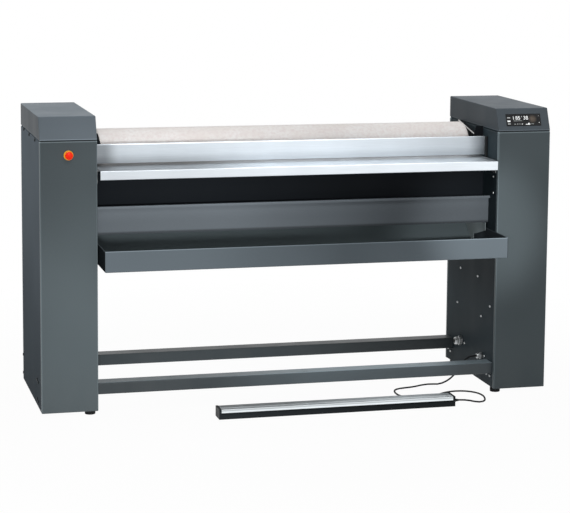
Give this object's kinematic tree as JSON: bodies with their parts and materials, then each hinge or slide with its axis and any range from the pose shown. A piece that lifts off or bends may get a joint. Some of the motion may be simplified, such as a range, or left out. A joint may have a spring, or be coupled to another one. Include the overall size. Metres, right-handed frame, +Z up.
{
  "type": "flatwork ironer",
  "caption": "Heated-trough flatwork ironer with a padded roller between two columns, feed table, finger guard, laundry tray and a floor foot control on a cord.",
  "frame": {"origin": "on the floor, at the centre of the outline seen from above, cord left out", "axes": "+X along the roller to the display column on the viewer's right, -Y towards the person at the feed table, +Z up"},
  "size_m": [1.8, 0.66, 1.018],
  "materials": {
    "charcoal_paint": "fine semi-gloss paint, dark grey with a green cast",
    "dark_paint": "satin paint, nearly black",
    "black_paint": "matt heat-proof paint",
    "anodised_aluminium": "satin, brushed along its length",
    "zinc_steel": "zinc plated, satin",
    "cast_grey": "as cast, painted grey",
    "roller_cloth": "off-white needled cloth, slightly mottled",
    "black_rubber": "matt",
    "black_plastic": "matt",
    "red_plastic": "glossy",
    "yellow_plastic": "glossy",
    "display_glass": "black and glossy",
    "motor_enamel": "blue-grey enamel",
    "heater_sheath": "dull heat-stained steel"
  },
  "bodies": {
    "frame": {"left_side_frame": "charcoal_paint", "left_front_panel": "charcoal_paint", "left_outer_panel": "charcoal_paint", "left_rear_panel": "charcoal_paint", "left_head_cover": "charcoal_paint", "left_front_foot": "black_rubber", "left_rear_foot": "black_rubber", "left_roller_bearing": "cast_grey", "left_trough_pivot": "zinc_steel", "left_table_bracket": "zinc_steel", "right_side_frame": "charcoal_paint", "right_front_panel": "charcoal_paint", "right_outer_panel": "charcoal_paint", "right_rear_panel": "charcoal_paint", "right_head_cover": "charcoal_paint", "right_front_foot": "black_rubber", "right_rear_foot": "black_rubber", "right_roller_bearing": "cast_grey", "right_trough_pivot": "zinc_steel", "right_table_bracket": "zinc_steel", "front_crossbar": "dark_paint", "rear_crossbar": "dark_paint", "drive_belt": "black_rubber", "roller_gearmotor": "motor_enamel", "lift_gearmotor": "motor_enamel", "feed_table": "anodised_aluminium", "recess_panel": "black_paint", "apron": "charcoal_paint", "laundry_tray": "charcoal_paint", "return_chute": "dark_paint", "rear_cover": "dark_paint", "stop_collar": "yellow_plastic", "stop_switch": "black_plastic", "display_glass": "display_glass", "display_module": "black_plastic", "switchgear_box": "black_plastic", "foot_bar_base": "black_plastic", "foot_bar_strain_relief": "black_rubber", "foot_cord": "black_rubber", "foot_cord_gland": "zinc_steel", "mains_cable_gland": "zinc_steel"},
    "roller": {"roller_drum": "zinc_steel", "roller_padding": "roller_cloth", "left_roller_journal": "zinc_steel", "right_roller_journal": "zinc_steel", "roller_pulley": "zinc_steel"},
    "motor_pulley": {"motor_pulley": "zinc_steel"},
    "trough": {"heated_trough": "anodised_aluminium", "trough_casing": "black_paint", "front_trough_heater": "heater_sheath", "rear_trough_heater": "heater_sheath", "left_trough_arm": "zinc_steel", "right_trough_arm": "zinc_steel"},
    "lift_shaft": {"lift_shaft": "zinc_steel", "left_lift_cam": "zinc_steel", "right_lift_cam": "zinc_steel"},
    "finger_guard": {"finger_guard": "anodised_aluminium"},
    "stop_button": {"stop_button": "red_plastic"},
    "foot_bar_tread": {"foot_bar_tread": "anodised_aluminium"}
  },
  "joints": [
    {"name": "roller_spin", "type": "hinge", "parent": "frame", "child": "roller", "pos_m": [0, 0.0925, 0.853], "axis": [1, 0, 0], "continuous": true},
    {"name": "motor_pulley_spin", "type": "hinge", "parent": "frame", "child": "motor_pulley", "pos_m": [0, 0.0925, 0.58], "axis": [1, 0, 0], "continuous": true},
    {"name": "trough_lift", "type": "hinge", "parent": "frame", "child": "trough", "pos_m": [0, 0.2425, 0.853], "axis": [-1, 0, 0], "range_deg": [0, 5.74]},
    {"name": "lift_shaft_turn", "type": "hinge", "parent": "frame", "child": "lift_shaft", "pos_m": [0, 0.0925, 0.6775], "axis": [1, 0, 0], "range_deg": [0, 180]},
    {"name": "guard_swing", "type": "hinge", "parent": "frame", "child": "finger_guard", "pos_m": [0, -0.0705, 0.903], "axis": [1, 0, 0], "range_deg": [0, 10], "stiffness_Nm_per_rad": 0.2, "springref_deg": -22.92},
    {"name": "stop_press", "type": "slide", "parent": "frame", "child": "stop_button", "axis": [0, 1, 0], "range_m": [0, 0.004], "stiffness_N_per_m": 500, "springref_m": -0.004},
    {"name": "tread_press", "type": "slide", "parent": "frame", "child": "foot_bar_tread", "axis": [0, 0, -1], "range_m": [0, 0.005], "stiffness_N_per_m": 3000, "springref_m": -0.01}
  ],
  "couplings": [
    {"joint": "motor_pulley_spin", "follows": "roller_spin", "ratio": 1.9375},
    {"joint": "lift_shaft_turn", "follows": "trough_lift", "ratio": 31.36}
  ]
}
